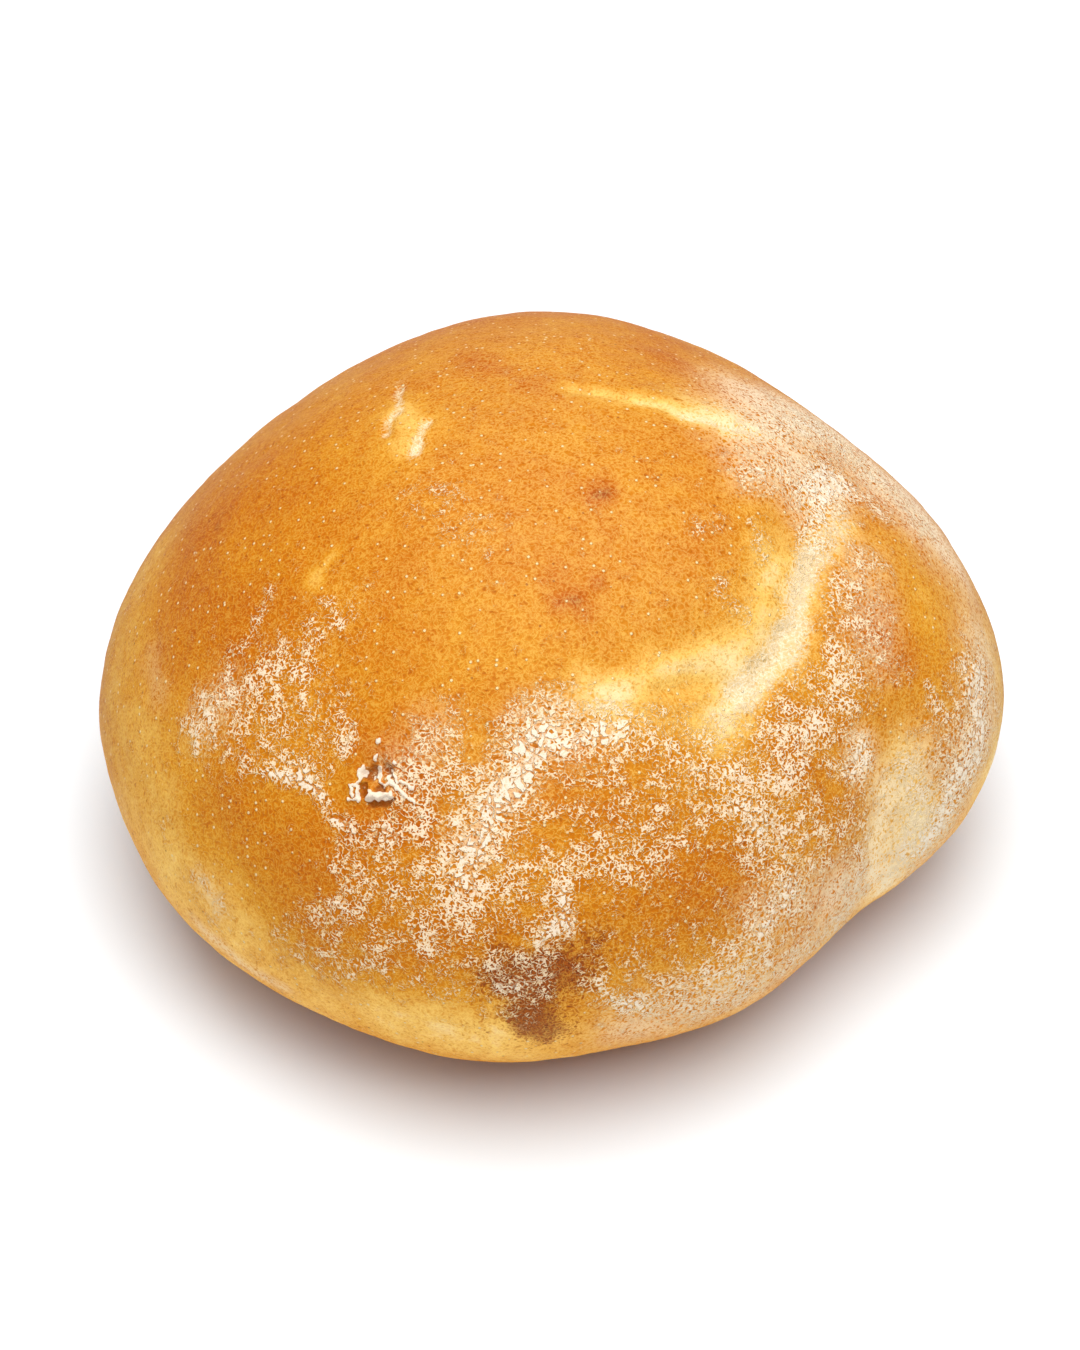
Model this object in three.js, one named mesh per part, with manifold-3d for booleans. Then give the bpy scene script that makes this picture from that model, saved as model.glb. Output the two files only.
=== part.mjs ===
// A bread roll, shaped by hand, floured, and baked free-standing on a flat oven sole.
// It is one baked piece: crown, belly and underside run into each other without a joint,
// and only the small spot that it sat on in the oven is flat.
//
// Millimetres, +Z up. The origin is the middle of the roll's footprint, on the surface it
// rests on. +X runs across the roll to its bulging right side, and -Y is its front.
//
// A place on the crust is given as a bearing, in degrees round from +X, and a level, in
// degrees up from the widest line, of the unit ball that the dough rises from.

import * as THREE from 'three';
import { mergeVertices } from 'three/addons/utils/BufferGeometryUtils.js';
import Module from 'manifold-3d';

// ---- Overall sizes -------------------------------------------------------------------
const ROLL_LENGTH = 105;       // across the belly, along X
const ROLL_WIDTH = 104;        // across the belly, along Y
const CROWN_HEIGHT = 39.5;     // from the widest line up to the top
const BELLY_HEIGHT = 20.5;     // from the resting surface up to the widest line
const RESTING_SINK = 3;        // how much of the underside its own weight pressed flat

// ---- Round form of the dough -----------------------------------------------------------
const SHOULDER_SLOPE = 0.045;     // how far the crown falls inside a true half-oval
const UNDERSIDE_FULLNESS = 0.05;  // how far the underside swells outside one
const PLAN_CORNERS = [            // soft corners of the outline seen from above
  { corners: 1, amount: 0.034, bearing: 134 },
  { corners: 2, amount: 0.021, bearing: 53 },
  { corners: 3, amount: 0.022, bearing: -8 },
  { corners: 4, amount: 0.030, bearing: -1 },
];

// ---- Swells and hollows of the crust -----------------------------------------------------
const TEAR_SPREAD = 5;         // from the middle of the tear to where it has mostly run out
const TEAR_DEPTH = 1.6;
const FOLD_SPREAD = 4;
const FOLD_DEPTH = 0.7;
const LOBE_SPREAD = 15;
const LOBE_RISE = 1.2;
const HOLLOW_SPREAD = 8;
const HOLLOW_DEPTH = 1.8;
const FRONT_SPREAD = 13;
const FRONT_RISE = 1.5;
const SKIN_SPREAD = 12;
const SKIN_RISE = 0.8;
const FORMS = [
  // The tear, where the crust gave way in the oven, from the back right to the front.
  {
    path: [[12, 44], [0, 52], [-24, 54], [-38, 47], [-57, 45]],
    spread: TEAR_SPREAD,
    rise: -TEAR_DEPTH,
  },
  // The fold of the dough that carries on from the tear across the front.
  {
    path: [[-62, 50], [-80, 50], [-92, 46], [-101, 30]],
    spread: FOLD_SPREAD,
    rise: -FOLD_DEPTH,
  },
  // The lobe to the right of the tear, which rose last.
  { path: [[-15, 16]], spread: LOBE_SPREAD, rise: LOBE_RISE },
  // The hollow in front of the lobe, and its run-out under the belly.
  { path: [[-33, 16], [-40, -8]], spread: HOLLOW_SPREAD, rise: -HOLLOW_DEPTH },
  // The full front beside it, and the tight skin at the front left, both under the belly.
  { path: [[-62, -14]], spread: FRONT_SPREAD, rise: FRONT_RISE },
  { path: [[-143, -16]], spread: SKIN_SPREAD, rise: SKIN_RISE },
];
const PATH_STEPS = 24;         // places tried along a path to find the nearest

// How far the underside would reach below the widest line if it sat on nothing.
const UNDERSIDE_DEPTH = BELLY_HEIGHT + RESTING_SINK;

// ---- Finish of the mesh ------------------------------------------------------------------
const SURFACE_DETAIL = 15;     // subdivisions of the starting icosahedron
const WELD_TOLERANCE = 1e-4;   // vertices closer than this are one

const degrees = THREE.MathUtils.degToRad;

// How far the outline reaches at a bearing, as a share of the mean radius.
function planReach(bearing) {
  return PLAN_CORNERS.reduce(
    (reach, soft) => reach + soft.amount * Math.cos(soft.corners * (bearing - degrees(soft.bearing))),
    1,
  );
}

// Where a point of the unit ball goes on the round dough, before any swell or hollow.
function onRoundDough(ball) {
  const bearing = Math.atan2(ball.y, ball.x);
  const level = Math.asin(THREE.MathUtils.clamp(ball.z, -1, 1));
  const fullness = level > 0 ? -SHOULDER_SLOPE : UNDERSIDE_FULLNESS;
  const reach = planReach(bearing) * (1 + fullness * Math.sin(2 * level) ** 2);
  return new THREE.Vector3(
    ball.x * reach * ROLL_LENGTH / 2,
    ball.y * reach * ROLL_WIDTH / 2,
    ball.z * (level > 0 ? CROWN_HEIGHT : UNDERSIDE_DEPTH),
  );
}

// The way out of the dough at a point of the unit ball.
function outwards(ball) {
  return new THREE.Vector3(
    ball.x / ROLL_LENGTH,
    ball.y / ROLL_WIDTH,
    ball.z / (2 * (ball.z > 0 ? CROWN_HEIGHT : UNDERSIDE_DEPTH)),
  ).normalize();
}

// The places that a form runs through, on the round dough.
function placesAlong(path) {
  const stops = path.map(([bearing, level]) => new THREE.Vector3(
    Math.cos(degrees(level)) * Math.cos(degrees(bearing)),
    Math.cos(degrees(level)) * Math.sin(degrees(bearing)),
    Math.sin(degrees(level)),
  ));
  const balls = stops.length > 1
    ? new THREE.CatmullRomCurve3(stops).getPoints(PATH_STEPS).map((stop) => stop.normalize())
    : stops;
  return balls.map(onRoundDough);
}

const forms = FORMS.map((form) => ({ ...form, places: placesAlong(form.path) }));

// How far the crust stands out of the round dough at a place on it.
function swell(place) {
  return forms.reduce((height, form) => {
    const away = Math.min(...form.places.map((other) => other.distanceTo(place)));
    return height + form.rise * Math.exp(-((away / form.spread) ** 2));
  }, 0);
}

// The whole risen piece, before it is set down on the oven sole.
function risenDough() {
  const start = new THREE.IcosahedronGeometry(1, SURFACE_DETAIL);
  start.deleteAttribute('normal');
  start.deleteAttribute('uv');
  const dough = mergeVertices(start, WELD_TOLERANCE);
  const position = dough.getAttribute('position');
  for (let i = 0; i < position.count; i += 1) {
    const ball = new THREE.Vector3().fromBufferAttribute(position, i);
    const place = onRoundDough(ball);
    place.addScaledVector(outwards(ball), swell(place));
    position.setXYZ(i, place.x, place.y, place.z);
  }
  dough.computeBoundingBox();
  const span = dough.boundingBox.getSize(new THREE.Vector3());
  dough.scale(ROLL_LENGTH / span.x, ROLL_WIDTH / span.y, 1);
  return dough;
}

const wasm = await Module();
wasm.setup();

function toSolid(geometry) {
  return new wasm.Manifold(new wasm.Mesh({
    numProp: 3,
    vertProperties: Float32Array.from(geometry.getAttribute('position').array),
    triVerts: Uint32Array.from(geometry.getIndex().array),
  }));
}

function toGeometry(solid) {
  const mesh = solid.getMesh();
  const geometry = new THREE.BufferGeometry();
  geometry.setAttribute('position', new THREE.BufferAttribute(mesh.vertProperties, 3));
  geometry.setIndex(new THREE.BufferAttribute(mesh.triVerts, 1));
  return geometry;
}

// The oven sole: a slab whose top is level with the roll's resting spot.
function ovenSole() {
  const thickness = 2 * RESTING_SINK;
  const slab = new THREE.BoxGeometry(ROLL_LENGTH, ROLL_WIDTH, thickness);
  slab.translate(0, 0, -BELLY_HEIGHT - thickness / 2);
  slab.deleteAttribute('normal');
  slab.deleteAttribute('uv');
  return mergeVertices(slab, WELD_TOLERANCE);
}

// Flattens the underside and puts the middle of the footprint at the origin.
function bakedRoll() {
  const roll = toGeometry(toSolid(risenDough()).subtract(toSolid(ovenSole())));
  roll.computeBoundingBox();
  const middle = roll.boundingBox.getCenter(new THREE.Vector3());
  roll.translate(-middle.x, -middle.y, -roll.boundingBox.min.z);
  roll.computeVertexNormals();
  return roll;
}

// Golden, matt, lightly floured crust.
function crust() {
  return new THREE.MeshStandardMaterial({ color: 0xd98f3c, roughness: 0.75, metalness: 0 });
}

const breadRoll = new THREE.Mesh(bakedRoll(), crust());
breadRoll.name = 'bread_roll';

const part = new THREE.Group();
part.add(breadRoll);

export default part;
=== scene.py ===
# %% [markdown]
# # A floured bread roll
#
# A bread roll is one piece of dough, shaped by hand, dusted with flour and baked on a hot
# flat sole. Everything on it is a mark of that: the crust tore where it was weakest, thin
# skin stayed pale, thick skin browned, and flour clung in drifts that cracked as the roll
# rose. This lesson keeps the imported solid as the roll's size and place, lays a fine crust
# over it, presses the marks into that crust, and then bakes and flours it with a material.
# A modelled crust was chosen over a flat-shaded solid with a bump on it, because the tear
# and the hollow show on the outline from the side.
#
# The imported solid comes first, because every later step measures itself against it.

import math

import bmesh
import bpy
import numpy as np
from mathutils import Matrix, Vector, noise
from mathutils.bvhtree import BVHTree


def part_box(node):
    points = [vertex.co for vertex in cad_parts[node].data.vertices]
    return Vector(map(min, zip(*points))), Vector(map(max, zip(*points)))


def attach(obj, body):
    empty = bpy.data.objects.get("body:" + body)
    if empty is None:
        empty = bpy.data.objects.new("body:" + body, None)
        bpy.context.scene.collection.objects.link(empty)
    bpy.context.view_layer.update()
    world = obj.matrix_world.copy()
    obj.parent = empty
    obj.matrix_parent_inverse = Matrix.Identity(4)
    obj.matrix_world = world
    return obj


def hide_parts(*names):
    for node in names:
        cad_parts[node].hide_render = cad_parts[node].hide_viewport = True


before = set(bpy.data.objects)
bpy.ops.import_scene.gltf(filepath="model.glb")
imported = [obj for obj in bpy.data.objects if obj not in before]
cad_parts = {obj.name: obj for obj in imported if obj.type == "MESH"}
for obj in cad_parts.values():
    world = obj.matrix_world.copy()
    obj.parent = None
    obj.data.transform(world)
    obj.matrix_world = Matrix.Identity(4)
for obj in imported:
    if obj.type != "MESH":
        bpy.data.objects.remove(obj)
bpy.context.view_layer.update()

MM = 0.001                      # Blender works in metres, bakers in millimetres
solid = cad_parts["bread_roll"]
low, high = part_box("bread_roll")
print("solid, mm:", [round(side / MM, 1) for side in high - low])

# %% [markdown]
# ## Camera
#
# The roll is seen from the front, from half-way between level and overhead. A short lens
# close by would make its far side look much smaller than its near side, so a long lens from
# farther away was chosen. The aim is a little below the middle of the roll, which leaves
# the white space above it.

# %% Camera
VIEW_RISE = math.radians(45)    # how steeply the camera looks down
VIEW_DISTANCE = 0.430
LENS = 99.0                     # focal length, in mm
NEAR = 0.01                     # nothing closer than this is seen
AIM = Vector((-0.0014, -0.0014, 0.0236))

camera = bpy.data.objects.new("camera", bpy.data.cameras.new("camera"))
camera.data.lens = LENS
camera.data.clip_start = NEAR
looking = Vector((0, math.cos(VIEW_RISE), -math.sin(VIEW_RISE)))
camera.location = AIM - looking * VIEW_DISTANCE
camera.rotation_euler = looking.to_track_quat("-Z", "Y").to_euler()
bpy.context.scene.collection.objects.link(camera)
bpy.context.scene.camera = camera
print("camera, m:", [round(c, 3) for c in camera.location])

# %% [markdown]
# ## Floor and light
#
# The roll lies on a white floor under one broad lamp, almost straight above it and a little
# to the front. The lamp is about as broad as it is far away, so the shadow is soft and
# stays under the belly. A smaller lamp or one at the side would throw a hard, long shadow.
# The world adds an even light, as the white walls of a studio do, so that the flanks don't
# go dark. The roll throws warm light on the floor beside it, so floor and walls are a
# little cool, which keeps the shadow grey. Standard colour management keeps whites white.

# %% Floor
FLOOR_SIDE = 6.0
FLOOR_WHITE = (0.88, 0.92, 0.95, 1)
FLOOR_ROUGHNESS = 0.9
FLOOR_GLOSS = 0.1

floor_grid = bmesh.new()
bmesh.ops.create_grid(floor_grid, x_segments=1, y_segments=1, size=FLOOR_SIDE / 2)
floor_mesh = bpy.data.meshes.new("floor")
floor_grid.to_mesh(floor_mesh)
floor_grid.free()
floor = bpy.data.objects.new("floor", floor_mesh)
bpy.context.scene.collection.objects.link(floor)
floor_finish = bpy.data.materials.new("white_floor")
floor_finish.use_nodes = True
floor_shader = floor_finish.node_tree.nodes["Principled BSDF"]
floor_shader.inputs["Base Color"].default_value = FLOOR_WHITE
floor_shader.inputs["Roughness"].default_value = FLOOR_ROUGHNESS
floor_shader.inputs["Specular IOR Level"].default_value = FLOOR_GLOSS
floor_mesh.materials.append(floor_finish)
print("floor, m:", FLOOR_SIDE)

# %% Lights
LAMP_PLACE = Vector((0.03, -0.12, 0.90))
LAMP_WIDTH = 0.80
LAMP_DEPTH = 1.10
LAMP_POWER = 12.2
WALLS = (0.90, 0.96, 1.0, 1)
WALL_LIGHT = 0.32

lamp = bpy.data.lights.new("overhead", "AREA")
lamp.shape = "RECTANGLE"
lamp.size = LAMP_WIDTH
lamp.size_y = LAMP_DEPTH
lamp.energy = LAMP_POWER
overhead = bpy.data.objects.new("overhead", lamp)
overhead.location = LAMP_PLACE
overhead.rotation_euler = (-LAMP_PLACE).to_track_quat("-Z", "Y").to_euler()
bpy.context.scene.collection.objects.link(overhead)

world = bpy.data.worlds.new("studio")
world.use_nodes = True
walls = world.node_tree.nodes["Background"]
walls.inputs["Color"].default_value = WALLS
walls.inputs["Strength"].default_value = WALL_LIGHT
bpy.context.scene.world = world
bpy.context.scene.view_settings.view_transform = "Standard"
print("lamp above the floor, m:", round(LAMP_PLACE.z, 2))

# %% [markdown]
# ## The round crust
#
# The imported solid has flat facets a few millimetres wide, which would show. A fine crust
# could be made by smoothing the solid itself, but its facets are uneven round the flat
# spot. So a ball is blown up inside it instead, as a cube whose faces are cut into a grid
# and swollen until each point meets the solid. A cube's grid has no poles to pinch, and
# every face stays about as large as the next. A few rounds of smoothing take the facets
# away, and a Subdivision Surface makes the crust fine enough to take the small marks.

# %% A ball that fills the solid
GRID_CUTS = 30                  # cuts along each edge of the starting cube
SMOOTHINGS = 3
FINENESS = 2                    # levels of the Subdivision Surface
BELLY = 20.5 * MM               # the widest line's height
FLAT = 0.5 * MM                 # anything lower than this rests on the surface
WELD = 0.001 * MM               # points closer than this are one

shape = bmesh.new()
shape.from_mesh(solid.data)
bmesh.ops.remove_doubles(shape, verts=shape.verts[:], dist=WELD)
outside = BVHTree.FromBMesh(shape)
shape.free()
heart = Vector((0, 0, BELLY))

ball = bmesh.new()
bmesh.ops.create_cube(ball, size=2)
bmesh.ops.subdivide_edges(ball, edges=ball.edges[:], cuts=GRID_CUTS, use_grid_fill=True)
for point in ball.verts:
    way = Vector([math.tan(c * math.pi / 4) for c in point.co]).normalized()
    point.co = outside.ray_cast(heart, way)[0]
for _ in range(SMOOTHINGS):
    bmesh.ops.smooth_vert(
        ball, verts=ball.verts[:], factor=0.5, use_axis_x=True, use_axis_y=True, use_axis_z=True
    )
for point in ball.verts:
    if point.co.z < FLAT:
        point.co.z = 0
print("points on the ball:", len(ball.verts))

# %% The fine crust
round_mesh = bpy.data.meshes.new("bread_roll_crust")
ball.to_mesh(round_mesh)
ball.free()
roll = bpy.data.objects.new("bread_roll_crust", round_mesh)
bpy.context.scene.collection.objects.link(roll)
finer = roll.modifiers.new("finer", "SUBSURF")
finer.levels = finer.render_levels = FINENESS
finished = roll.evaluated_get(bpy.context.evaluated_depsgraph_get())
crust = bpy.data.meshes.new_from_object(finished)
roll.modifiers.clear()
roll.data = crust
crust.name = "bread_roll_crust"
crust.shade_smooth()
print("faces of the fine crust:", len(crust.polygons))

# %% [markdown]
# ### Finer still at the pit
#
# To the left of the front there is a little pit, with strands of dried flour a third of a
# millimetre thick across it. The crust's points lie two thirds of a millimetre apart, too
# far for that. Refining the whole crust would be wasteful, so only the faces about the pit
# are cut again. Places on the roll are pointed at the way a baker would: a bearing round
# the roll, in degrees from its right side, and a lift, in degrees up from the belly, both
# seen from the middle of the roll. The front is at -90.

# %% Finer still at the pit
PIT = (-116.2, 28.8)            # bearing and lift
PIT_REACH = 5 * MM
PIT_CUTS = 3


def way_to(bearing, lift):
    """The direction of a bearing and a lift, both in degrees, from the heart."""
    turn, rise = math.radians(bearing), math.radians(lift)
    level = math.cos(rise)
    return Vector((level * math.cos(turn), level * math.sin(turn), math.sin(rise)))


pit = outside.ray_cast(heart, way_to(*PIT))[0]
finest = bmesh.new()
finest.from_mesh(crust)
about_pit = [
    edge for edge in finest.edges
    if all((point.co - pit).length < PIT_REACH for point in edge.verts)
]
bmesh.ops.subdivide_edges(finest, edges=about_pit, cuts=PIT_CUTS, use_grid_fill=True)
finest.to_mesh(crust)
finest.free()
crust.shade_smooth()
print("edges cut at the pit:", len(about_pit))

# %% The crust's points and the ways out of it
count = len(crust.vertices)
places = np.empty(count * 3)
crust.vertices.foreach_get("co", places)
places = places.reshape(count, 3)
outwards = np.empty(count * 3)
crust.vertices.foreach_get("normal", outwards)
outwards = outwards.reshape(count, 3)
print("crust points:", count, "faces:", len(crust.polygons))

# %% [markdown]
# ## Marks on the crust
#
# Each mark is laid along a short path of bearings and lifts. It is strongest on its path and
# fades out over its reach. Painting each mark by hand would also do, but a path with a
# reach can be moved and mended later.
#
# Real marks have ragged edges. So the places are first shaken a little by a slow noise, and
# the marks are measured on the shaken places.

# %% Tools for marks
RAGGED = 0.9 * MM               # how far a mark's edge wanders
RAGGED_GRAIN = 3.2 * MM         # and over what length
STEPS = 8                       # places tried between two stops of a path
FALL = 0.9                      # how much weaker each finer noise is
FINER = 2.0                     # and how much finer


def crust_line(path):
    """Places on the crust along a path of (bearing, lift) stops."""
    stops = [way_to(*stop) for stop in path]
    ways = [a.lerp(b, step / STEPS) for a, b in zip(stops, stops[1:]) for step in range(STEPS)]
    return [outside.ray_cast(heart, way.normalized())[0] for way in ways + stops[-1:]]


def in_grains(spot, grain, seed):
    """A spot measured in grains, and shifted, so that each seed gives another noise."""
    return Vector(spot) / grain + Vector((seed, 2 * seed, 3 * seed))


def slow_noise(spots, grain, seed):
    """A noise vector at each spot, its features about grain long."""
    return np.array([noise.noise_vector(in_grains(spot, grain, seed)) for spot in spots])


def grain_noise(spots, grain, octaves, seed):
    """A noise value at each spot, about -1 to 1, with finer octaves on top."""
    return np.array([
        noise.fractal(in_grains(spot, grain, seed), FALL, FINER, octaves) for spot in spots
    ])


shaken = places + slow_noise(places, RAGGED_GRAIN, 11) * RAGGED


def touch(path, reach, spots=shaken):
    """How strongly a mark of that reach, in mm, touches each place: 1 on its path, 0 far away."""
    nearest = np.full(count, np.inf)
    for spot in crust_line(path):
        nearest = np.minimum(nearest, ((spots - np.array(spot)) ** 2).sum(axis=1))
    return np.exp(-nearest / (reach * MM) ** 2)


def pile(marks):
    """Several marks of (amount, reach, path), each covering what the others leave."""
    bare = np.ones(count)
    for amount, reach, path in marks:
        bare *= 1 - amount * touch(path, reach)
    return 1 - bare


def band(values, start, end):
    """0 below start, 1 above end, and smooth between them."""
    share = np.clip((values - start) / (end - start), 0, 1)
    return share * share * (3 - 2 * share)


# %% [markdown]
# ## Where the crust tore, stayed thin, browned and caught
#
# The tear runs from the back right to the front. In it lies pale flesh, and thin yellow skin
# borders it and carries on along the fold. The same thin skin shows round the two small splits on
# the left of the crown, along the crease behind it, and in the hollow at the right. The lowest
# part of the belly, which the oven's top heat didn't reach, is pale too, and the material
# lightens it further as painted light on the lower flanks. The front touched hot metal and
# caught, which left one dark patch. Every mark is a row of its amount, its reach in millimetres
# and its path, so that it can be mended alone.

# %% Flesh, thin skin and browning
TEAR = [
    (4, 40), (-9, 43), (-19, 45), (-29, 43.5), (-35, 40.5), (-42, 38.5), (-48, 38), (-54, 37),
    (-58, 36),
]
TEAR_LIP = [(-37, 37.5), (-45, 37), (-52, 36), (-58, 35.5)]
CREASE = [(73, 78), (49, 77), (33, 73), (19, 68), (13, 62), (13, 57)]
SPLIT_LEFT = [(143, 58), (158, 63), (172, 63)]
SPLIT_RIGHT = [(168, 69), (-179, 69), (-173, 68)]

flesh = pile([
    # the tear and its lower lip
    (0.50, 2.0, [(-3, 42), (-9, 43), (-19, 45)]),
    (0.95, 1.6, [(-19, 45), (-29, 43.5), (-35, 40.5)]),
    (0.90, 1.7, [(-35, 40.5), (-42, 39), (-48, 39), (-53, 37.5)]),
    (0.45, 1.2, TEAR_LIP),
    # the crease and the two splits
    (0.65, 0.7, [(19, 68), (13, 62), (13, 58)]),
    (0.95, 0.8, SPLIT_RIGHT),
    (0.70, 0.7, SPLIT_LEFT),
])
thin_skin = pile([
    # beside the tear and on along the fold
    (0.66, 3.0, TEAR[1:]),
    (0.60, 3.6, [(-26, 50), (-36, 46), (-44, 43), (-51, 42)]),
    (0.72, 2.8, [(-51, 41), (-57, 44), (-65, 45), (-72, 45), (-79, 43)]),
    (0.40, 3.0, [(-84, 43), (-79, 42), (-72, 39.5), (-65, 37)]),
    (0.35, 2.4, [(-56, 35), (-61, 34)]),
    # round the splits and the crease
    (0.62, 2.8, [(158, 64), (170, 67), (-178, 67)]),
    (0.55, 1.0, [(-151, 51), (-149, 46)]),
    (0.45, 1.4, CREASE),
    (0.55, 1.4, CREASE[2:]),
    (0.50, 3.0, [(26, 66), (18, 60)]),
    # the hollow at the right
    (0.70, 3.8, [(-31, 14), (-32, 10), (-32, 5)]),
    (0.60, 2.6, [(-36, 12), (-38, 7), (-39, 2)]),
    (0.60, 3.0, [(-32, 3), (-34, -1), (-36, -5)]),
    # low on the flanks and along the front
    (0.36, 8.0, [(179, 18), (-168, 15), (-157, 12), (-149, 9), (-141, 5)]),
    (0.50, 5.0, [(-4, 12), (-14, 2)]),
    (0.34, 5.0, [(-134, 3), (-121, 1), (-113, 0), (-104, 0), (-98, -3)]),
    (0.16, 7.0, [(-8, 26), (-12, 20), (0, 20)]),
    # on the crown above the fold
    (0.12, 6.0, [(-84, 52), (-100, 50), (-70, 54)]),
])
deep_brown = pile([
    # the left shoulder
    (0.50, 7.0, [(-177, 30), (-168, 27), (-160, 30), (-153, 32)]),
    (0.34, 9.0, [(170, 40), (-170, 44)]),
    (0.18, 8.0, [(-152, 42), (-140, 50)]),
    (0.40, 5.5, [(-133, 17), (-130, 14), (-122, 16)]),
    # about the pit
    (0.45, 3.0, [(-119, 33), (-109, 29)]),
    (0.60, 3.2, [(-116, 25), (-110, 25)]),
    # the front
    (0.42, 4.2, [(-75, 17), (-76, 13), (-70, 16)]),
    (0.35, 3.0, [(-89, 30), (-84, 28)]),
    (0.34, 6.0, [(-118, 9), (-108, 11), (-100, 14)]),
    # the lobe
    (0.45, 3.0, [(-22, 31), (-24, 27)]),
    # small spots and blisters
    (0.60, 2.4, [(-178, 35), (177, 37)]),
    (0.60, 2.2, [(120, 63), (115, 70)]),
    (0.45, 2.2, [(106, 77)]),
    (0.60, 2.0, [(59, 56), (52, 55)]),
    (1.00, 1.6, [(-60, 75), (-63, 75)]),
    (1.00, 1.8, [(-84, 57), (-86, 57.5)]),
    (0.80, 1.2, [(-76, 60)]),
    (0.60, 1.8, [(-88, 62)]),
    # the back
    (0.35, 5.0, [(60, 45), (90, 40), (120, 40)]),
])
pitted = pile([
    (1.0, 0.9, [(-35.5, 41.3), (-38, 40.6)]),
    (1.0, 1.0, [(-42, 39.4), (-44, 39)]),
    (1.0, 1.1, [(-47, 39.6), (-50, 39)]),
])
scorched = pile([
    (0.92, 3.2, [(-96, 9), (-93, 9), (-90, 9)]),
    (0.95, 3.0, [(-92, 7), (-93, 4)]),
    (0.85, 2.6, [(-93, 2), (-91, -1)]),
    (0.45, 2.6, [(-86, 8), (-85, 12)]),
    (0.30, 5.0, [(-92, 4)]),
])

print("torn flesh covers", f"{np.mean(flesh > 0.5):.1%}", "of the crust")

# %% [markdown]
# ## Flour
#
# Flour lies thickest where the dough was handled and where the folds held it. The thick
# drifts are nearly white and crack into plates as the roll rises. Elsewhere it is a thin
# scatter of tiny threads and grains. Both are the same mark, more or less of it, and the
# material turns the amount into threads or plates. On the flanks and the rim the dough was
# rolled in flour while still damp, and there it is a smooth pale film.
# On the back right edge the film is also raised as painted light, to lighten that edge.

# %% Flour
drifts = pile([
    # the drift in the fold, from its right arm down to the front
    (0.55, 2.2, [(-74, 38), (-81, 40)]),
    (0.86, 2.6, [(-79, 38), (-86, 38), (-92, 38)]),
    (0.94, 2.8, [(-92, 37), (-95, 34), (-98, 30)]),
    (0.92, 3.0, [(-98, 30), (-100, 25), (-102, 20)]),
    (0.58, 2.2, [(-98, 38), (-96, 41), (-90, 43), (-85, 43)]),
    # clumps about the pit
    (0.95, 1.1, [(-137, 22), (-133, 23), (-128, 25), (-125, 24), (-120, 22.5)]),
    (0.80, 1.7, [(-131, 26), (-126, 27)]),
    (0.75, 1.5, [(-124, 33), (-124, 31)]),
    (0.75, 1.8, [(-119, 22), (-115, 23), (-111, 23)]),
    (0.70, 2.4, [(-118, 18), (-115, 16), (-116, 13), (-119, 11)]),
    (0.50, 2.0, [(-113, 21), (-112, 18)]),
    # the fan on the left
    (0.60, 2.6, [(-148, 20), (-149, 23), (-148, 26)]),
    (0.58, 2.2, [(-148, 26), (-145, 29), (-143, 32)]),
    # the clump above the scorched patch, and the flour on that patch
    (1.00, 1.8, [(-89, 18), (-89, 15), (-91, 13)]),
    (0.66, 2.0, [(-97, 10), (-95, 7), (-96, 4)]),
    (0.60, 2.6, [(-92, 10), (-92, 6)]),
    # the rim at the lower right, up to the right flank
    (0.85, 1.8, [(-84, 6), (-82, 2), (-79, 1)]),
    (0.75, 3.0, [(-76, 1), (-71, 2), (-65, 2)]),
    (0.75, 3.4, [(-71, -4), (-62, -3), (-55, -3), (-44, -4)]),
    (0.80, 3.0, [(-61, 25), (-60, 18), (-57, 10), (-62, 6)]),
    (0.54, 4.4, [(-54, 22), (-52, 12), (-56, 4)]),
    (0.90, 1.8, [(-37, 21), (-38, 18), (-41, 19)]),
    (0.50, 2.6, [(-23, 19), (-23, 14), (-24, 10)]),
    (0.96, 4.4, [(-14, 15), (-19, 8), (-25, 5), (-30, -1)]),
    (0.66, 2.0, [(-40, 14), (-42, 7), (-44, 0)]),
    (0.45, 2.0, [(-30, 13), (-31, 6)]),
    # the back right, about the top of the tear
    (0.80, 3.0, [(-6, 58), (0, 53), (-4, 49), (5, 45)]),
    (0.75, 3.6, [(14, 55), (22, 45), (21, 37), (15, 32), (8, 27)]),
    (0.66, 3.6, [(29, 43), (27, 38)]),
    (0.66, 3.0, [(10, 42), (4, 35)]),
    (0.80, 2.2, [(-15, 46), (-9, 46), (-3, 45), (2, 44), (7, 41)]),
])
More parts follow.
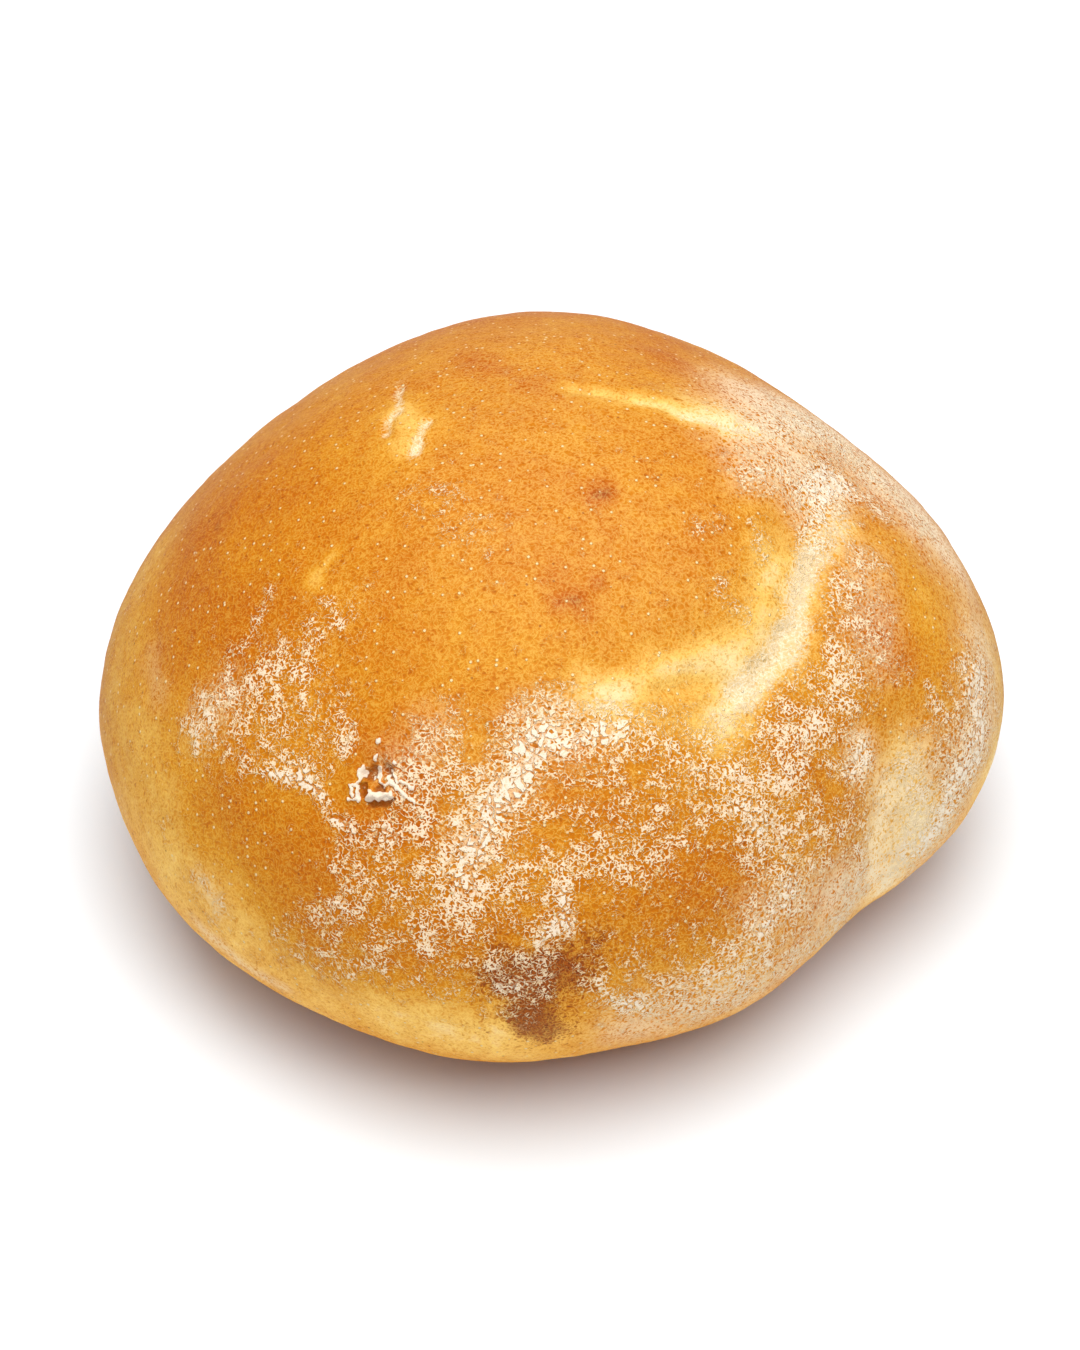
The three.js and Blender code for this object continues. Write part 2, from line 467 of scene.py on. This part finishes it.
scatter = pile([
    # threads round the drifts at the front
    (0.50, 4.5, [(-120, 4), (-112, 8), (-106, 12), (-103, 8)]),
    (0.55, 3.6, [(-100, 16), (-97, 18), (-93, 21), (-89, 22), (-83, 22), (-78, 21)]),
    (0.50, 5.0, [(-106, 32), (-105, 24), (-106, 17)]),
    (0.45, 3.0, [(-113, 32), (-112, 35), (-109, 37), (-108, 39)]),
    (0.50, 4.0, [(-141, 37), (-140, 41), (-139, 45)]),
    (0.60, 1.3, [(-155, 40), (-151, 35), (-151, 30)]),
    (0.45, 4.5, [(-136, 29), (-130, 33), (-138, 34)]),
    (0.40, 4.0, [(-143, 22), (-140, 26)]),
    (0.45, 6.0, [(-72, 30), (-76, 26), (-70, 24), (-82, 30)]),
    (0.50, 6.0, [(-65, 33), (-58, 29), (-47, 28)]),
    (0.50, 5.0, [(-47, 28), (-41, 30), (-37, 32)]),
    (0.42, 3.4, [(-23, 38), (-22, 32), (-25, 27)]),
    (0.50, 3.4, [(-12, 37), (-19, 39), (-29, 35), (-35, 28)]),
    (0.45, 3.0, [(-46, 14), (-45, 6)]),
    # patches on the crown
    (0.45, 2.2, [(-44, 47), (-44, 52), (-45, 50)]),
    (0.45, 2.0, [(-27, 52), (-24, 54)]),
    (0.36, 3.4, [(-137, 68), (-119, 66), (-150, 68)]),
    (0.40, 2.0, [(-30, 60), (-36, 62)]),
    # the flanks, the tear and the pit
    (0.35, 8.0, [(-80, 8), (-68, 6)]),
    (0.30, 3.0, [(-137, 5), (-135, 3)]),
    (0.32, 9.0, [(-8, 8), (6, 4), (30, 8)]),
    (0.40, 3.0, [(-31, 14), (-33, 8), (-34, 0)]),
    (0.14, 6.0, [(-150, 8), (-140, 3), (-128, 1)]),
    (0.35, 2.2, TEAR[:4]),
    (0.50, 2.4, [(-111, 30), (-110, 27), (-111, 25)]),
    # the back
    (0.20, 16.0, [(60, 10), (120, 10), (170, 5)]),
])
film_and_painted_light = pile([
    # a breath of it over the crown, and more at the back right, raised there partly as painted
    # light on that edge
    (0.05, 17.0, [(100, 70), (-90, 72), (-60, 60)]),
    (0.66, 2.4, [(-2, 47), (2, 45), (4, 48)]),
    (0.86, 6.2, [(14, 55), (24, 45), (24, 37), (17, 31), (9, 26)]),
    (0.66, 5.0, [(29, 43), (27, 36), (34, 50)]),
    (0.40, 3.0, [(-6, 58), (0, 53), (2, 47)]),
    (0.30, 3.8, [(-14, 38), (-20, 35), (-26, 31)]),
    (0.60, 3.2, [(-8, 47), (0, 45), (5, 42)]),
    # the rim and the hollow at the right
    (0.56, 4.8, [(-8, 15), (-16, 9), (-24, 4), (-28, -1)]),
    (0.60, 3.4, [(-47, 3), (-42, 0)]),
    (0.56, 4.4, [(20, 32), (10, 25), (4, 20)]),
    (0.60, 2.4, [(-36, 12), (-38, 7), (-40, 2), (-36, -5)]),
    (0.52, 4.4, [(-30, 12), (-33, 2), (-33, -4)]),
    (0.70, 1.9, [(-37, 21), (-38, 18)]),
    (0.50, 4.2, [(-80, -3), (-71, -3), (-62, -4), (-52, -3), (-44, -3)]),
    (0.40, 3.0, [(-62, 8), (-55, 8), (-48, 4)]),
    # the left, the tear and the thick drifts
    (0.14, 2.0, [(-164, 20), (-159, 19)]),
    (0.15, 1.8, TEAR[1:]),
    (0.30, 1.5, [(-137, 5), (-135, 3)]),
    (0.45, 1.3, [(-138, -3), (-131, -5), (-125, -5)]),
    (0.25, 2.6, [(-113, 32), (-110, 37)]),
    (0.32, 2.4, [(-86, 38), (-92, 38), (-98, 31), (-101, 24)]),
    (0.24, 2.2, [(-96, 40), (-88, 42), (-80, 42)]),
    (0.30, 2.4, [(-148, 22), (-147, 27)]),
])

# %% [markdown]
# ## Strands over the pit
#
# Where the skin opened over the pit, wet flour dried into strands. They could be modelled as
# tubes, but they are part of the crust and melt into it. So they are drawn as strokes on a flat
# sheet laid against the crust there, and raise it a little later. A stroke is everything nearer
# to its path than half its thickness. The dark hollows between the strands are strokes as well:
# they are dented a little and painted dark brown, as painted shade under the strands. Stops are
# in millimetres from the pit's middle.

# %% Tools for strokes
WOBBLE = 0.30                   # how far a stroke wanders, in mm
WOBBLE_GRAIN = 0.55 * MM        # and over what length
SHEET_FULL, SHEET_END = 6, 7    # the sheet's reach from the pit, in mm, and where it ends
STROKE_FULL, STROKE_END = 0.34, 0.72    # shares of a stroke's thickness

nearest_point = ((places - np.array(pit)) ** 2).sum(axis=1).argmin()
pit_out = Vector(outwards[nearest_point])
pit_right = Vector((0, 0, 1)).cross(pit_out).normalized()
pit_up = pit_out.cross(pit_right)
from_pit = (places - np.array(pit)) / MM
sheet = np.column_stack([from_pit @ np.array(pit_right), from_pit @ np.array(pit_up)])
sheet += slow_noise(places, WOBBLE_GRAIN, 31)[:, :2] * WOBBLE
at_pit = 1 - band(np.linalg.norm(from_pit, axis=1), SHEET_FULL, SHEET_END)


def strokes(drawing):
    """Strokes of (thickness, path of (right, up) stops), in mm from the pit's middle."""
    drawn = np.zeros(count)
    for thickness, path in drawing:
        stops = np.array(path, dtype=float)
        for start, end in zip(stops, stops[1:] if len(stops) > 1 else stops):
            way = end - start
            share = np.clip((sheet - start) @ way / max(way @ way, 1e-6), 0, 1)
            away = np.linalg.norm(sheet - start - share[:, None] * way, axis=1)
            edge = band(away, thickness * STROKE_FULL, thickness * STROKE_END)
            drawn = np.maximum(drawn, 1 - edge)
    return drawn * at_pit


# %% Strands and the painted shade between them
strands = strokes([
    # the loop at the left
    (0.42, [(-2.5, 0.9), (-2.7, 0.6), (-2.5, 0.0), (-2.3, -0.5), (-2.8, -1.1)]),
    (0.36, [(-3.1, -1.3), (-2.6, -2.1)]),
    (0.38, [(-2.3, -1.1), (-2.2, -1.7), (-1.7, -2.4)]),
    (0.32, [(-2.7, -2.9), (-2.0, -2.3)]),
    (0.58, [(-2.1, 0.4)]),
    # the strands in the middle, and the three that run off to the right
    (0.74, [(-0.65, 1.4)]),
    (0.44, [(-0.6, 1.2), (-0.3, 0.5), (0.1, 0.0), (0.6, -0.2)]),
    (0.50, [(-0.9, 0.25)]),
    (0.46, [(0.6, 0.95)]),
    (0.36, [(0.6, 0.95), (1.0, 0.65), (0.6, -0.2)]),
    (0.38, [(1.0, 0.65), (2.0, 0.2), (3.1, -0.2), (4.2, -0.45)]),
    (0.34, [(0.8, 1.65), (1.3, 1.35), (1.9, 0.8)]),
    (0.32, [(2.2, 1.1), (2.8, 0.95), (3.7, 0.85)]),
    # the ledge below, and the crumbs above
    (0.80, [(-0.6, -1.95), (-0.1, -1.5), (1.6, -0.85)]),
    (0.34, [(-0.7, -0.9), (-0.55, -1.3)]),
    (0.54, [(-1.4, 2.4)]),
    (0.40, [(-1.75, 4.2), (-1.6, 4.0)]),
    (0.44, [(0.9, 2.65)]),
])
# painted shade: the hollows between the strands, dented a little and coloured dark brown
shade = strokes([
    (1.3, [(-1.0, 0.9), (-1.6, 0.3)]),
    (0.9, [(0.3, 1.8), (0.7, 1.3)]),
    (1.0, [(-1.6, -1.1), (-1.3, -1.7)]),
    (1.0, [(0.3, -0.6)]),
    (0.9, [(-0.2, -2.3), (0.9, -1.85), (1.8, -1.25)]),
])
print("points on strands:", int((strands > 0.5).sum()))

# %% [markdown]
# ## Relief
#
# The marks also have depth. The tear is a shallow valley with rough, pitted flesh in it and
# a sharp lower lip. The crease and the two small splits are thin cuts. Beside the left
# drift is a small pit under a lip of flour. Blisters stand out of the smooth crown, and the
# whole crust is a little uneven, as dough is. Each height is in millimetres and is added
# along the crust's own direction, which a bump in the material couldn't show on the outline.

# %% Relief of the crust
UNEVEN = 0.28                   # swells and dips, a centimetre or so across
PUCKERS = 0.075                 # the fine puckers of the skin
CRUMB = 0.34                    # the roughness of torn flesh
PITTING = 0.06                  # the holes in it
DRIFT_RISE = 0.18               # how thick the drifts lie
SHADE_DEPTH = 0.5               # the hollows between the strands
STRAND_RISE = 0.30              # and the strands themselves
MARKS = [
    # (height, reach, path); below 0 is a hollow
    (-0.50, 2.2, TEAR[2:]),
    (0.28, 0.8, TEAR_LIP),
    (0.25, 2.0, [(-36, 46), (-44, 43.5), (-52, 42.5), (-60, 46)]),
    # the crease and the fold of skin in front of it
    (-0.45, 0.7, CREASE),
    (0.35, 2.0, [(44, 72), (26, 66), (18, 61)]),
    # the swelling round the splits, and the splits
    (0.35, 4.0, [(158, 64), (176, 67)]),
    (-0.45, 0.5, SPLIT_LEFT),
    (-0.5, 0.6, SPLIT_RIGHT),
    # blisters on the crown
    (0.45, 0.8, [(-60, 75)]),
    (0.30, 0.6, [(-64, 76)]),
    (0.35, 0.7, [(-76, 60)]),
    (0.30, 1.1, [(-84, 57)]),
    # the ridge and the furrow that carry on from the tear
    (0.25, 1.6, [(-56, 44), (-65, 45.5), (-75, 45)]),
    (-0.3, 1.0, [(-58, 41), (-68, 42)]),
    # the hollow under the front
    (-0.25, 3.0, [(-100, -4), (-118, -3)]),
]
PIT_MARKS = [
    # the pit and its lip, whose edges are sharp
    (-0.6, 1.3, [(-118.6, 29.6), (-117, 30.4)]),
    (0.35, 0.8, [(-117.0, 27.2), (-113.4, 27.6)]),
]

crumb = grain_noise(places, 1.5 * MM, 3, 7)
height = UNEVEN * grain_noise(places, 14 * MM, 2, 3)
height += PUCKERS * grain_noise(places, 3.4 * MM, 3, 5)
height += CRUMB * flesh * crumb - PITTING * pitted * (0.5 + crumb)
height += STRAND_RISE * strands - SHADE_DEPTH * shade
height += DRIFT_RISE * drifts * (0.6 + crumb)
for amount, reach, path in MARKS:
    height += amount * touch(path, reach)
for amount, reach, path in PIT_MARKS:
    height += amount * touch(path, reach, places)
print("relief, mm:", round(height.min(), 2), "to", round(height.max(), 2))

# %% [markdown]
# ### Laying it on
#
# The underside was pressed smooth by the oven sole, and the flat spot has to stay flat. So
# the relief fades in over the first few millimetres, and nothing may sink below the floor.

# %% Lay the relief on the crust
SETTLED = 5 * MM                # the relief fades in over this height above the flat spot

rising = band(places[:, 2] / SETTLED, 0, 1)
places = places + outwards * (height * rising * MM)[:, None]
places[:, 2] = np.maximum(places[:, 2], 0)
crust.vertices.foreach_set("co", places.ravel())
crust.update()
print("crust size, mm:", ((places.max(axis=0) - places.min(axis=0)) / MM).round(1))

# %% [markdown]
# ### Keeping the marks
#
# The material needs the same marks again, to colour what the relief has shaped. They are kept on
# the crust's own points, where the material finds each by its name. Painting them on a flat
# picture would need a seam somewhere on the roll, and this needs none. A little flour lies
# everywhere. How pale the belly is, and how brown the sole, comes from the height above the
# floor, with an edge that wanders. The pale belly is both less baked crust and painted light on
# the lower flanks.

# %% Keep the marks on the mesh
DUSTING = 0.20                  # the little flour that lies everywhere
PALE_STARTS, PALE_FULL = 7, 14  # heights in mm, upwards from the sole
PALE_FADES, PALE_ENDS = 17, 29
SOLE_FADES, SOLE_ENDS = 3, 10
WANDER = 2.5                    # how far those edges wander, in mm
WANDER_GRAIN = 9 * MM           # and over what length

rise = places[:, 2] / MM + slow_noise(places, WANDER_GRAIN, 23)[:, 0] * WANDER
# the belly's band: less baked crust, and painted light that lightens the lower flanks
pale_belly_and_painted_light = (1 - band(rise, PALE_FADES, PALE_ENDS)) * band(rise, PALE_STARTS, PALE_FULL)
kept_marks = {
    "flesh": flesh,
    "thin_skin": thin_skin,
    "deep_brown": deep_brown,
    "scorched": scorched,
    "flour": 1 - (1 - drifts) * (1 - scatter) * (1 - DUSTING),
    "drifts": drifts,
    "film_and_painted_light": film_and_painted_light,
    "pitted": pitted,
    "strands": strands,
    "shade": shade,
    "pale_belly_and_painted_light": pale_belly_and_painted_light,
    "sole": 1 - band(rise, SOLE_FADES, SOLE_ENDS),
}
for name, values in kept_marks.items():
    mark = crust.attributes.new(name, "FLOAT", "POINT")
    mark.data.foreach_set("value", np.clip(values, 0, 1).astype(np.float32))
    print(f"{name}: covers {np.mean(values > 0.5):.1%} of the crust")

# %% [markdown]
# ## The crust's material
#
# A material here is a recipe of nodes. They could be added and wired one by one, but that
# takes many lines. A small helper adds a node, wires its inputs and hands back its output
# instead, so the recipe reads from top to bottom. Patterns read the roll's own coordinates,
# in millimetres, so they sit still on the crust. Nothing is wrapped or projected, and no
# picture is used.

# %% A helper for node recipes
MIDDLE = 0.5                    # a noise's middle value


class Recipe:
    """A material whose nodes are added one call at a time."""

    def __init__(self, name):
        self.material = bpy.data.materials.new(name)
        self.material.use_nodes = True
        self.tree = self.material.node_tree
        self.shader = self.tree.nodes["Principled BSDF"]

    def wire(self, socket, value):
        """Links another node's output to a socket, or sets the socket to a plain value."""
        if isinstance(value, bpy.types.NodeSocket):
            self.tree.links.new(value, socket)
        else:
            socket.default_value = value

    def add(self, kind, wires, output=0, **settings):
        """Adds a node with its inputs wired, and hands back one of its outputs."""
        node = self.tree.nodes.new("ShaderNode" + kind)
        for name, value in settings.items():
            setattr(node, name, value)
        for name, value in wires.items():
            self.wire(node.inputs[name], value)
        return node.outputs[output]

    def mark(self, name):
        """One of the marks kept on the crust."""
        return self.add("Attribute", {}, "Fac", attribute_name=name)

    def sum(self, operation, first, second=0.0, third=0.0, clamp=False):
        """One step of arithmetic with up to three numbers."""
        wires = {0: first, 1: second, 2: third}
        return self.add("Math", wires, operation=operation, use_clamp=clamp)

    def plus(self, base, value, amount):
        """The base and an amount of the value."""
        return self.sum("MULTIPLY_ADD", value, amount, base)

    def sway(self, base, pattern, amount):
        """The base, raised where a pattern is above its middle and lowered where below."""
        return self.plus(base, self.sum("SUBTRACT", pattern, MIDDLE), amount)

    def share(self, value, amount):
        """A share of a value."""
        return self.sum("MULTIPLY", value, amount)

    def fade(self, value, start, end):
        """0 below start, 1 above end, and smooth between them."""
        wires = {"Value": value, "From Min": start, "From Max": end}
        return self.add("MapRange", wires, interpolation_type="SMOOTHSTEP")

    def grain(self, where, per_mm, detail=2.0, roughness=0.5, warp=0.0):
        """A noise with that many features to the millimetre."""
        wires = {"Vector": where, "Scale": per_mm, "Detail": detail, "Roughness": roughness}
        return self.add("TexNoise", {**wires, "Distortion": warp})

    def mix(self, share, first, second, blend="MIX"):
        """The first colour with a share of the second blended in."""
        node = self.tree.nodes.new("ShaderNodeMix")
        node.data_type = "RGBA"
        node.blend_type = blend
        self.wire(node.inputs[0], share)
        self.wire(node.inputs[6], first)
        self.wire(node.inputs[7], second)
        return node.outputs[2]

    def ramp(self, value, stops):
        """A colour for a value, from stops of (value, colour)."""
        node = self.tree.nodes.new("ShaderNodeValToRGB")
        self.wire(node.inputs[0], value)
        steps = node.color_ramp.elements
        while len(steps) < len(stops):
            steps.new(0.5)
        for step, (place, colour) in zip(steps, stops):
            step.position = place
            step.color = colour
        return node.outputs[0]


def paint(red, green, blue):
    """A colour as a paint chart gives it, 0 to 255, turned into light."""
    def light(part):
        part /= 255
        return part / 12.92 if part <= 0.04045 else ((part + 0.055) / 1.055) ** 2.4
    return (light(red), light(green), light(blue), 1.0)


# %% [markdown]
# ### Threads
#
# Under a lens, both the crust and the flour are a maze of winding threads, a sixth of a
# millimetre wide and under half a millimetre apart. Drawing each one would take far too
# many strokes. But a smooth noise passes through its middle value along winding lines, as
# the height lines of a map wind. So the distance of a noise from its middle is taken and
# turned over: it is highest along a thread and falls off to the gaps between threads.
# Slower noises make clumps and blotches of them.

# %% Threads and where the patterns are read
THREADS_PER_MM = 2.2
THREAD_PEAK = 0.66              # the maze's value along the middle of a thread
THREAD_SLOPE = -1.7             # and how fast it falls off to the sides
CLUMPS_PER_MM = 0.55
BLOTCHES_PER_MM = 0.11
DUST_PER_MM = 5.0               # the finest grain of all

recipe = Recipe("floured_crust")
place = recipe.add("TexCoord", {}, "Object")
place = recipe.add("VectorMath", {0: place, 3: 1 / MM}, operation="SCALE")
wave = recipe.sum("SUBTRACT", recipe.grain(place, THREADS_PER_MM, 1.0, 0.4, 0.5), MIDDLE)
maze = recipe.plus(THREAD_PEAK, recipe.sum("ABSOLUTE", wave), THREAD_SLOPE)
thread = recipe.fade(maze, 0.54, 0.64)
gaps = recipe.fade(maze, 0.48, 0.34)
clumps = recipe.grain(place, CLUMPS_PER_MM, 3.0, 0.6)
blotches = recipe.grain(place, BLOTCHES_PER_MM, 3.0, 0.55)
fine = recipe.grain(place, DUST_PER_MM, 1.0, 0.5)
print("threads to the millimetre:", THREADS_PER_MM)

# %% [markdown]
# ### Baked crust
#
# How brown the crust is comes from one number, which thin skin lowers and the browned
# marks raise, with slow blotches on top. A colour ramp turns it into straw, gold, amber and
# chestnut. One ramp was chosen over a colour for each mark, because browning is one thing:
# every place on the crust is somewhere on its way from dough to chestnut. The threads then
# lighten the crust and the gaps between them darken it. Where there is flour about, the
# faintest of it lies along the threads and lightens them further.
# Last, the belly's band is multiplied lighter, as painted light on the lower flanks.

# %% Browning
BROWNNESS = 0.54                # of the plain crust, from 0 to 1
THREAD_GLOW = (0.050, 0.075, 0.016, 1)
GAP_TINT = (0.93, 0.82, 0.60, 1)
BELLY_PAINTED_LIGHT = (1.20, 1.20, 1.30, 1)
FAINT_FLOUR = paint(242, 190, 104)

brown = recipe.plus(BROWNNESS, recipe.mark("deep_brown"), 0.36)
brown = recipe.plus(brown, recipe.mark("thin_skin"), -0.52)
brown = recipe.sway(brown, blotches, 0.42)
brown = recipe.sway(brown, clumps, 0.30)
brown = recipe.plus(brown, recipe.mark("pale_belly_and_painted_light"), -0.14)
brown = recipe.plus(brown, recipe.mark("sole"), 0.24)
baked = recipe.ramp(brown, [
    (0.00, paint(240, 214, 160)),       # dough
    (0.20, paint(230, 178, 84)),        # straw
    (0.42, paint(210, 138, 26)),        # gold
    (0.60, paint(198, 116, 4)),         # amber
    (0.80, paint(188, 98, 2)),
    (1.00, paint(136, 60, 14)),         # chestnut
])
baked = recipe.mix(thread, baked, THREAD_GLOW, "ADD")
faint = recipe.sum("MULTIPLY", thread, recipe.plus(-0.02, recipe.mark("flour"), 0.48))
baked = recipe.mix(faint, baked, FAINT_FLOUR)
baked = recipe.mix(gaps, baked, GAP_TINT, "MULTIPLY")
# painted light: the lower flanks multiplied lighter, on top of their paler, less baked crust
baked = recipe.mix(recipe.mark("pale_belly_and_painted_light"), baked, BELLY_PAINTED_LIGHT, "MULTIPLY")

# %% [markdown]
# ### Grains and specks
#
# Pale grains of dough and a few dark specks dot the smooth crust, a millimetre or two
# apart. Each could be a small mark of its own, but there are hundreds. Voronoi cells give
# one dot to a cell, and a second look at the cell's own colour leaves most cells empty.

# %% Grains and specks
GRAIN_COLOUR = paint(246, 220, 164)
SPECK_COLOUR = paint(130, 62, 18)


def dots(per_mm, radius, share):
    """Round dots of a radius in cells, in a share of the cells."""
    node = recipe.tree.nodes.new("ShaderNodeTexVoronoi")
    recipe.wire(node.inputs["Vector"], place)
    node.inputs["Scale"].default_value = per_mm
    node.inputs["Randomness"].default_value = 1.0
    cell = recipe.add("SeparateColor", {0: node.outputs["Color"]})
    chosen = recipe.sum("LESS_THAN", cell, share)
    dot = recipe.fade(node.outputs["Distance"], radius, radius * 0.5)
    return recipe.sum("MULTIPLY", dot, chosen)


grains = dots(1.0, 0.22, 0.40)
specks = dots(0.70, 0.14, 0.25)
baked = recipe.mix(recipe.share(grains, 0.80), baked, GRAIN_COLOUR)
baked = recipe.mix(recipe.share(specks, 0.6), baked, SPECK_COLOUR)

# %% [markdown]
# ### Scorched patch and torn flesh
#
# A scorch is darkest in the gaps between threads and breaks up at its edge, so the threads and
# the clumps shift its limit. Torn flesh is pale, matt crumb with small pits in it, and it too
# breaks up into threads at its edge. A plain soft edge would look painted on. The pits in the
# crumb are darkened in colour as painted shade. The hollows between the strands over the pit are
# painted a dark scorch brown, as painted shade under the strands.

# %% Scorched patch and torn flesh
SCORCH_DARK, SCORCH_LIGHT = paint(112, 46, 12), paint(158, 76, 16)
FLESH, FLESH_THREAD = paint(224, 194, 144), paint(234, 216, 182)
PAINTED_CRUMB_SHADE, PAINTED_HOLE_SHADE = paint(206, 172, 106), paint(186, 152, 92)
PAINTED_HOLLOW_SHADE = paint(140, 66, 6)

scorch = recipe.sway(recipe.mark("scorched"), clumps, 0.9)
scorch = recipe.sway(scorch, maze, -1.2)
scorch = recipe.share(recipe.fade(scorch, 0.15, 0.95), 0.92)
scorch_colour = recipe.ramp(fine, [(0.35, SCORCH_DARK), (0.60, SCORCH_LIGHT)])
baked = recipe.mix(scorch, baked, scorch_colour)

torn = recipe.sway(recipe.mark("flesh"), clumps, 0.7)
torn = recipe.sway(torn, maze, 0.8)
torn = recipe.fade(torn, 0.15, 0.90)
crumb_pits = recipe.fade(recipe.grain(place, 1.1, 3.0, 0.65, 0.4), 0.42, 0.28)
holes = recipe.fade(recipe.grain(place, 2.6, 2.0, 0.6, 0.4), 0.46, 0.38)
holes = recipe.sum("MULTIPLY", holes, recipe.mark("pitted"))
flesh_colour = recipe.mix(thread, FLESH, FLESH_THREAD)
# painted shade: the crumb's pits and the holes, dented in the relief, are also darkened in colour
flesh_colour = recipe.mix(recipe.share(crumb_pits, 0.40), flesh_colour, PAINTED_CRUMB_SHADE)
flesh_colour = recipe.mix(recipe.share(holes, 0.8), flesh_colour, PAINTED_HOLE_SHADE)
skin = recipe.mix(torn, baked, flesh_colour)
# painted shade: the hollows between the strands darkened to brown
skin = recipe.mix(recipe.share(recipe.mark("shade"), 0.75), skin, PAINTED_HOLLOW_SHADE)

# %% [markdown]
# ### Flour
#
# Flour could be a white colour blended in by its amount, but that looks like milk. Real
# flour covers or it doesn't. So the amount of flour sets a threshold. Where there is
# little, only the middles of the threads pass it, and where there is much, nearly
# everything does except the cracks. The cracks are the borders of Voronoi cells, bent by
# noise, and they open only in the drifts. Film is the one kind that does blend, because it
# was wet when it was baked on.
# On the back right edge the film also stands for painted light on that edge.

# %% How far the flour covers
FLOUR_LIMIT = 0.795             # a thread as high as this shows with no flour at all
FLOUR_REACH = 0.42              # how far the amount of flour lowers that limit

amount = recipe.mark("flour")
drift = recipe.mark("drifts")
coverage = recipe.plus(recipe.sum("SUBTRACT", maze, FLOUR_LIMIT), amount, FLOUR_REACH)
coverage = recipe.plus(coverage, recipe.fade(drift, 0.72, 0.96), 0.12)
coverage = recipe.sway(coverage, clumps, 0.58)
coverage = recipe.sway(coverage, fine, 0.10)
some_flour = recipe.fade(amount, 0.04, 0.25)
floured = recipe.sum("MULTIPLY", recipe.fade(coverage, -0.01, 0.12), some_flour)

# %% Cracks in the drifts
PLATES_PER_MM = 0.80
BENDS_PER_MM = 0.9
BEND = (1.3, 1.3, 1.3)          # how far noise bends the cracks, in mm
CRACK_DEPTH = -0.92             # the share of the flour that a crack leaves out

bends = recipe.add("TexNoise", {"Vector": place, "Scale": BENDS_PER_MM, "Detail": 2.0}, "Color")
bent = recipe.add("VectorMath", {0: bends, 1: BEND, 2: place}, operation="MULTIPLY_ADD")
plates = {"Vector": bent, "Scale": PLATES_PER_MM}
cell_edge = recipe.add("TexVoronoi", plates, "Distance", feature="DISTANCE_TO_EDGE")
thick = recipe.fade(drift, 0.45, 0.80)
cracks = recipe.sum("MULTIPLY", recipe.fade(cell_edge, 0.12, 0.05), thick)
cracks = recipe.sum("MULTIPLY", cracks, recipe.fade(clumps, 0.40, 0.50))
floured = recipe.sum("MULTIPLY", floured, recipe.plus(1.0, cracks, CRACK_DEPTH))

# %% Film, strands and the colour of flour
FILM_AND_PAINTED_LIGHT_COLOUR = paint(248, 226, 192)
THIN_FLOUR, THICK_FLOUR = paint(236, 202, 152), paint(242, 226, 204)

strand = recipe.fade(recipe.mark("strands"), 0.25, 0.60)
floured = recipe.sum("MAXIMUM", floured, strand)
# painted light: on the back right edge the film is raised to lighten that edge, on top of the
# flour film there
film_and_painted_light_share = recipe.sum("MULTIPLY", recipe.mark("film_and_painted_light"), recipe.fade(maze, 0.30, 0.58))
surface = recipe.mix(film_and_painted_light_share, skin, FILM_AND_PAINTED_LIGHT_COLOUR)
thickness = recipe.sum("MAXIMUM", recipe.fade(coverage, 0.02, 0.30), strand)
flour_colour = recipe.mix(thickness, THIN_FLOUR, THICK_FLOUR)
surface = recipe.mix(recipe.share(floured, 0.90), surface, flour_colour)

# %% [markdown]
# ### Bump and roughness
#
# Threads, flour, cracks and grains are too small to model, at a tenth of a millimetre or
# less in height, so a bump gives them their light and shade. All that is larger is already
# in the crust's own shape. Bare crust has a dull sheen, flour has none, and crumb is
# between the two.

# %% Bump and roughness
CRUST_ROUGHNESS = 0.52
CRUST_GLOSS = 0.11

relief = recipe.plus(recipe.share(fine, 0.025), maze, 0.09)
relief = recipe.plus(relief, floured, 0.045)
relief = recipe.plus(relief, cracks, -0.08)
relief = recipe.plus(relief, grains, 0.10)
relief = recipe.plus(relief, clumps, 0.16)
relief = recipe.plus(relief, recipe.sum("MULTIPLY", crumb_pits, torn), -0.09)
bump = recipe.add("Bump", {"Height": relief, "Distance": MM, "Strength": 1.0})
dull = recipe.plus(CRUST_ROUGHNESS, floured, 0.34)
dull = recipe.plus(dull, torn, 0.12)
dull = recipe.sum("MULTIPLY_ADD", fine, 0.10, dull, clamp=True)

recipe.wire(recipe.shader.inputs["Base Color"], surface)
recipe.wire(recipe.shader.inputs["Roughness"], dull)
recipe.wire(recipe.shader.inputs["Normal"], bump)
recipe.shader.inputs["Specular IOR Level"].default_value = CRUST_GLOSS
crust.materials.append(recipe.material)
print("nodes in the crust's recipe:", len(recipe.tree.nodes))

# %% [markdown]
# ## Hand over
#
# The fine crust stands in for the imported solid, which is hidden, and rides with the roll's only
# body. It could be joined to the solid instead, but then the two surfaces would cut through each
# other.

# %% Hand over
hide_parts("bread_roll")
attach(roll, "root")
